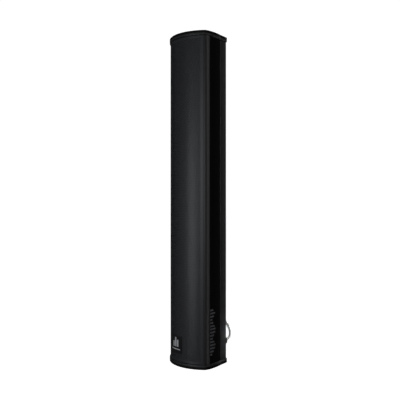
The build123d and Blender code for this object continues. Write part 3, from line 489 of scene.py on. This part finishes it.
def perforated_grille():
    pitch, flat = 0.00565, 0.00387
    row = pitch * math.sqrt(3) / 2
    corner = flat / math.sqrt(3)
    z_lo, z_hi, reach = 0.0154, 0.9846, S1 - 0.0015
    plain = 0.0062  # unperforated border
    cols, rows = int(reach / pitch) + 3, int((z_hi - z_lo) / 2 / row) + 3
    turn = [(corner * math.cos(math.radians(30 + 60 * k)), corner * math.sin(math.radians(30 + 60 * k))) for k in range(6)]
    index, points, polys = {}, [], []

    def put(s, z):
        key = (round(s * 1e7), round(z * 1e7))
        if key not in index:
            index[key] = len(points)
            points.append((s, z))
        return index[key]

    def centre(i, j):
        return (i + (0.5 if j % 2 else 0.0)) * pitch, 0.5 + j * row

    def corner_of(i, j, k):
        c = centre(i, j)
        return c[0] + turn[k % 6][0], c[1] + turn[k % 6][1]

    def clip(poly):
        for axis, bound, sign in ((0, reach, 1), (0, -reach, -1), (1, z_hi, 1), (1, z_lo, -1)):
            kept = []
            for a, b in zip(poly, poly[1:] + poly[:1]):
                ia, ib = sign * (a[axis] - bound) <= 1e-9, sign * (b[axis] - bound) <= 1e-9
                if ia:
                    kept.append(a)
                if ia != ib:
                    p, q = (a, b) if a < b else (b, a)
                    t = (bound - p[axis]) / (q[axis] - p[axis])
                    hit = [p[0] + t * (q[0] - p[0]), p[1] + t * (q[1] - p[1])]
                    hit[axis] = bound
                    kept.append(tuple(hit))
            poly = kept
            if len(poly) < 3:
                return
        ids = []
        for p in poly:
            v = put(*p)
            if not ids or ids[-1] != v:
                ids.append(v)
        if ids[0] == ids[-1]:
            ids.pop()
        if len(set(ids)) >= 3:
            polys.append(ids)

    for j in range(-rows, rows + 1):
        odd = j % 2
        for i in range(-cols, cols + 1):
            right, up_right, up_left = (i + 1, j), (i + odd, j + 1), (i - 1 + odd, j + 1)
            c = centre(i, j)
            clip([corner_of(i, j, 5), corner_of(*right, 3), corner_of(*right, 2), corner_of(i, j, 0)])
            clip([corner_of(i, j, 0), corner_of(*up_right, 4), corner_of(*up_right, 3), corner_of(i, j, 1)])
            clip([corner_of(i, j, 1), corner_of(*up_left, 5), corner_of(*up_left, 4), corner_of(i, j, 2)])
            clip([corner_of(i, j, 0), corner_of(*right, 2), corner_of(*up_right, 4)])
            clip([corner_of(i, j, 1), corner_of(*up_right, 3), corner_of(*up_left, 5)])
            if abs(c[0]) > reach - plain or not z_lo + plain < c[1] < z_hi - plain:
                clip([corner_of(i, j, k) for k in range(6)])

    # Plain margins, the bends and the returns, with few rows of their own.
    zs = [z_lo + (z_hi - z_lo) * k / 14 for k in range(15)]
    for side in (-1, 1):
        edge = sorted((points[v][1], v) for v in range(len(points)) if abs(points[v][0] - side * reach) < 1e-9)
        near = side * (reach + 0.0012)
        far = [(z, put(near, z)) for z in zs]
        a = b = 0
        while a < len(edge) - 1 or b < len(far) - 1:
            step_a = b == len(far) - 1 or (a < len(edge) - 1 and edge[a + 1][0] <= far[b + 1][0])
            tri = [edge[a][1], far[b][1], edge[a + 1][1] if step_a else far[b + 1][1]]
            polys.append(tri if side > 0 else tri[::-1])
            a, b = (a + 1, b) if step_a else (a, b + 1)
        stops = [reach + 0.0012, S1] + [S1 + (S2 - S1) * k / 6 for k in range(1, 7)] + [S3 - 0.0003, S3]
        for s, t in zip(stops, stops[1:]):
            for z, w in zip(zs, zs[1:]):
                quad = [put(side * s, z), put(side * t, z), put(side * t, w), put(side * s, w)]
                polys.append(quad if side > 0 else quad[::-1])

    outer, inner, normal = [], [], []
    for s, z in points:
        p, n = section(s)
        outer.append((p[0], p[1], z))
        inner.append((p[0] - SHEET_T * n[0], p[1] - SHEET_T * n[1], z))
        normal.append((n[0], n[1], 0.0))
    count = len(points)
    verts, faces, loops = outer + inner, [], []
    used = {}
    for p in polys:
        faces.append(p)
        loops += [normal[v] for v in p]
        for a, b in zip(p, p[1:] + p[:1]):
            used[(a, b)] = used.get((a, b), 0) + 1
    for p in polys:
        faces.append([v + count for v in reversed(p)])
        loops += [(-normal[v][0], -normal[v][1], 0.0) for v in reversed(p)]
    for (a, b), times in used.items():
        if (b, a) in used:
            continue
        quad = [b, a, a + count, b + count]
        q = [Vector(verts[v]) for v in quad]
        n = (q[1] - q[0]).cross(q[3] - q[0]).normalized()
        faces.append(quad)
        loops += [tuple(n)] * 4
    return add_mesh("perforated_grille", verts, faces, "grille", loops)


grille = perforated_grille()
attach(grille, "cabinet")
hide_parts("grille")


# ---------------------------------------------------------------- acoustic cloth

def cloth_sheet():
    radius, half, z_lo, z_hi = 0.1111, math.asin(0.0832 / 0.1111), 0.016, 0.984
    across, up = 56, 60
    verts, faces, loops = [], [], []
    for j in range(up + 1):
        z = z_lo + (z_hi - z_lo) * j / up
        for i in range(across + 1):
            a = half * (2 * i / across - 1)
            verts.append((radius * math.sin(a), FRONT_CY - radius * math.cos(a), z))
    for j in range(up):
        for i in range(across):
            v = j * (across + 1) + i
            faces.append((v, v + 1, v + across + 2, v + across + 1))
    return add_mesh("acoustic_cloth", verts, faces, "cloth"), 2 * half * radius, z_hi - z_lo


cloth, cloth_w, cloth_l = cloth_sheet()
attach(cloth, "cabinet")
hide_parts("grille_cloth")


# ---------------------------------------------------------------- printed bars on the right strip

def on_strip(y, lift):
    """Point on the right strip at y, lifted off its face."""
    r = 0.178 + lift
    cx, cy = -0.0865, -0.0421
    a = math.asin((y - cy) / 0.178)
    return cx + r * math.cos(a), cy + r * math.sin(a)


def printed_bars():
    verts, faces = [], []
    lengths = (9, 15, 21, 24, 18, 12, 17, 23, 24, 19, 13, 10, 16, 22, 14)
    z, thick, gap = 0.0385, 0.0052, 0.0042
    for length in lengths:
        steps = max(3, round(length / 3))
        ys = [-0.0104 + length * MM * k / steps for k in range(steps + 1)]
        base = len(verts)
        for y in ys:
            for lift in (0.00002, 0.00014):
                x, yy = on_strip(y, lift)
                verts += [(x, yy, z), (x, yy, z + thick)]
        for k in range(steps):
            a, b = base + 4 * k, base + 4 * (k + 1)
            faces += [(a + 2, b + 2, b + 3, a + 3), (a + 1, b + 1, b, a), (a, b, b + 2, a + 2), (a + 3, b + 3, b + 1, a + 1)]
        a, b = base, base + 4 * steps
        faces += [(a, a + 2, a + 3, a + 1), (b, b + 1, b + 3, b + 2)]
        z += thick + gap
    return add_mesh("printed_bars", verts, faces, "print", smooth=False)


bars = printed_bars()
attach(bars, "cabinet")


# ---------------------------------------------------------------- damping foam

def foam_block(name, lo, hi, pitch=0.0115):
    """A pad of pyramid foam against the back wall, its points towards the drivers."""
    nx, nz = max(4, round((hi[0] - lo[0]) / pitch)) * 4, max(4, round((hi[2] - lo[2]) / pitch)) * 4
    verts, faces = [], []
    for j in range(nz + 1):
        for i in range(nx + 1):
            u, w = i / nx, j / nz
            x, z = lo[0] + (hi[0] - lo[0]) * u, lo[2] + (hi[2] - lo[2]) * w
            peak = (math.sin(math.pi * nx / 4 * u) ** 2) * (math.sin(math.pi * nz / 4 * w) ** 2)
            edge = min(u, 1 - u) * (hi[0] - lo[0]), min(w, 1 - w) * (hi[2] - lo[2])
            fall = min(1.0, min(edge) / 0.002)
            y = hi[1] - 0.006 - (hi[1] - lo[1] - 0.0065) * (0.25 + 0.75 * peak) * (0.4 + 0.6 * fall)
            verts.append((x, y, z))
    back = len(verts)
    for j in range(nz + 1):
        for i in range(nx + 1):
            verts.append((lo[0] + (hi[0] - lo[0]) * i / nx, hi[1], lo[2] + (hi[2] - lo[2]) * j / nz))
    row = nx + 1
    for j in range(nz):
        for i in range(nx):
            v = j * row + i
            faces.append((v, v + 1, v + row + 1, v + row))
            faces.append((back + v, back + v + row, back + v + row + 1, back + v + 1))
    rim = [i for i in range(nx)] + [j * row + nx for j in range(nz)] + [nz * row + i for i in range(nx, 0, -1)] + [j * row for j in range(nz, 0, -1)]
    for a, b in zip(rim, rim[1:] + rim[:1]):
        faces.append((b, a, back + a, back + b))
    return add_mesh(name, verts, faces, "foam")


foam_lo, foam_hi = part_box("damping_foam")
for k, (za, zb) in enumerate(((0.200, 0.335), (0.590, 0.965)), 1):
    pad = foam_block(f"foam_pad_{k}", (foam_lo.x, foam_lo.y, za), (foam_hi.x, foam_hi.y, zb))
    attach(pad, "cabinet")
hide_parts("damping_foam")


# ---------------------------------------------------------------- flexing rings of the woofers

def arc(p, q, r, steps):
    """Points from p to r along the circle through p, q and r, p left out."""
    (ax, ay), (bx, by), (cx, cy) = p, q, r
    d = 2 * (ax * (by - cy) + bx * (cy - ay) + cx * (ay - by))
    ux = ((ax * ax + ay * ay) * (by - cy) + (bx * bx + by * by) * (cy - ay) + (cx * cx + cy * cy) * (ay - by)) / d
    uy = ((ax * ax + ay * ay) * (cx - bx) + (bx * bx + by * by) * (ax - cx) + (cx * cx + cy * cy) * (bx - ax)) / d
    a0, a1, a2 = (math.atan2(y - uy, x - ux) for x, y in (p, q, r))
    turn = (a2 - a0) % (2 * math.pi)
    if (a1 - a0) % (2 * math.pi) > turn:
        turn -= 2 * math.pi
    radius = math.hypot(ax - ux, ay - uy)
    return [(ux + radius * math.cos(a0 + turn * k / steps), uy + radius * math.sin(a0 + turn * k / steps)) for k in range(1, steps + 1)]


SURROUND = [(70.0, -26.0), (66.0, -26.0)] + arc((66.0, -26.0), (61.4, -31.6), (56.9, -24.0), 10)
SURROUND += [(54.0, -21.2), (54.0, -20.3), (57.9, -23.4)] + arc((57.9, -23.4), (61.4, -30.6), (65.0, -25.05), 10) + [(70.0, -25.05)]
SPIDER = [
    (47.0, 8.2), (39.0, 8.2), (36.0, 6.6), (32.0, 9.8), (28.0, 6.6), (24.0, 9.8), (20.0, 7.4), (14.1, 8.7),
    (14.1, 9.4), (20.0, 8.2), (24.0, 10.6), (28.0, 7.4), (32.0, 10.6), (36.0, 7.4), (38.8, 8.95), (47.0, 8.95),
]


def flexing_ring(name, z, profile, mat):
    """A ring in twelve sectors between the cone and the basket."""
    sectors, steps, count = 12, 4, len(profile)
    pieces = []
    for k in range(sectors):
        verts, faces = [], []
        for i in range(steps + 1):
            a = 2 * math.pi * (k + i / steps) / sectors
            verts += [(r * MM * math.cos(a), y * MM, z + r * MM * math.sin(a)) for r, y in profile]
        for i in range(steps):
            for j in range(count):
                p, q = i * count + j, i * count + (j + 1) % count
                faces.append((p, q, q + count, p + count))
        faces += [tuple(range(count))[::-1], tuple(range(steps * count, (steps + 1) * count))]
        piece = add_mesh(f"{name}_sector_{k + 1}", verts, faces, mat)
        bm = bmesh.new()
        bm.from_mesh(piece.data)
        bmesh.ops.recalc_face_normals(bm, faces=bm.faces)
        bm.to_mesh(piece.data)
        bm.free()
        for face in piece.data.polygons[-2:]:
            face.use_smooth = False
        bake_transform(piece)
        pieces.append(piece)
    return pieces


for n, z in enumerate((0.110, 0.290, 0.710, 0.890), 1):
    ring = flexing_ring(f"surround_{n}", z, SURROUND, "surround")
    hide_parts(f"woofer_surround_{n}")
    ring = flexing_ring(f"spider_{n}", z, SPIDER, "spider")
    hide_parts(f"woofer_spider_{n}")


# ---------------------------------------------------------------- grey link lead

LEAD = (
    (20.0, 105.97, 59.65),
    (20.0, 112.77, 62.82),
    (20.0, 117.64, 69.78),
    (20.0, 118.80, 79.21),
    (20.0, 115.95, 89.84),
    (20.0, 109.89, 100.77),
    (20.0, 102.72, 111.01),
    (20.0, 95.34, 120.46),
)
lead_data = bpy.data.curves.new("grey_link_lead", "CURVE")
lead_data.dimensions = "3D"
spline = lead_data.splines.new("NURBS")
spline.points.add(len(LEAD) - 1)
for point, p in zip(spline.points, LEAD):
    point.co = (p[0] * MM, p[1] * MM, p[2] * MM, 1.0)
spline.order_u = 3
spline.use_endpoint_u = True
spline.resolution_u = 10
lead_data.bevel_depth = 0.004
lead_data.bevel_resolution = 8
lead_data.use_fill_caps = True
lead_data.materials.append(MATS["lead"])
lead = bpy.data.objects.new("grey_link_lead", lead_data)
scene.collection.objects.link(lead)
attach(lead, "cabinet")
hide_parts("link_lead")


# ---------------------------------------------------------------- floor, light and surroundings

floor_mesh = bpy.data.meshes.new("floor")
floor_mesh.from_pydata([(-14, -14, 0), (14, -14, 0), (14, 14, 0), (-14, 14, 0)], [], [(0, 1, 2, 3)])
floor = bpy.data.objects.new("floor", floor_mesh)
scene.collection.objects.link(floor)
paper = Shader("studio_paper", 0.9, specular_ior_level=0.1)
paper.color(paper.ramp(paper.noise(3.0, 2.0), (0.3, (0.86, 0.86, 0.86)), (0.7, (0.88, 0.88, 0.88))))
paper.bsdf.inputs["Emission Color"].default_value = (1, 1, 1, 1)
paper.bsdf.inputs["Emission Strength"].default_value = 1.0
floor_mesh.materials.append(paper.mat)
floor.visible_diffuse = floor.visible_glossy = floor.visible_transmission = False


def softbox(name, azimuth, distance, z, width, height, power, aim=(0.0, 0.0, 0.5), color=(1, 1, 1), spread=180.0):
    """A soft area light standing off the column at that azimuth from its front, towards +X."""
    a = math.radians(azimuth)
    data = bpy.data.lights.new(name, "AREA")
    data.shape = "RECTANGLE"
    data.size, data.size_y = width, height
    data.energy = power
    data.color = color
    data.spread = math.radians(spread)
    light = bpy.data.objects.new(name, data)
    light.location = (distance * math.sin(a), -distance * math.cos(a), z)
    light.rotation_euler = (Vector(aim) - light.location).to_track_quat("-Z", "Y").to_euler()
    light.visible_camera = False
    scene.collection.objects.link(light)
    return light


COOL = (0.955, 0.975, 1.0)
softbox("front_box", 10, 1.7, 0.40, 0.62, 1.0, 9.2, color=COOL)
softbox("left_fill", -24, 1.8, 0.40, 0.60, 1.0, 0.7, color=COOL)
softbox("side_box", 40, 1.9, 0.66, 0.26, 0.9, 3.9, color=COOL)
softbox("right_box", 117, 1.8, 0.5, 0.22, 2.6, 4.9)
softbox("rim_box", 194, 1.6, 0.5, 0.60, 2.4, 5.0)
softbox("lead_box", 131, 1.2, 0.14, 0.10, 0.10, 0.065, aim=(0.02, 0.118, 0.085), spread=9.0)

world = bpy.data.worlds.new("surroundings")
scene.world = world
world.use_nodes = True
wt = world.node_tree
wt.nodes.clear()
w_out = wt.nodes.new("ShaderNodeOutputWorld")
seen, felt = wt.nodes.new("ShaderNodeBackground"), wt.nodes.new("ShaderNodeBackground")
seen.inputs["Color"].default_value = (1, 1, 1, 1)
seen.inputs["Strength"].default_value = 1.05
felt.inputs["Color"].default_value = (1, 1, 1, 1)
felt.inputs["Strength"].default_value = 0.021
path, choose = wt.nodes.new("ShaderNodeLightPath"), wt.nodes.new("ShaderNodeMixShader")
wt.links.new(path.outputs["Is Camera Ray"], choose.inputs[0])
wt.links.new(felt.outputs[0], choose.inputs[1])
wt.links.new(seen.outputs[0], choose.inputs[2])
wt.links.new(choose.outputs[0], w_out.inputs[0])

scene.view_settings.view_transform = "Standard"
scene.view_settings.look = "None"
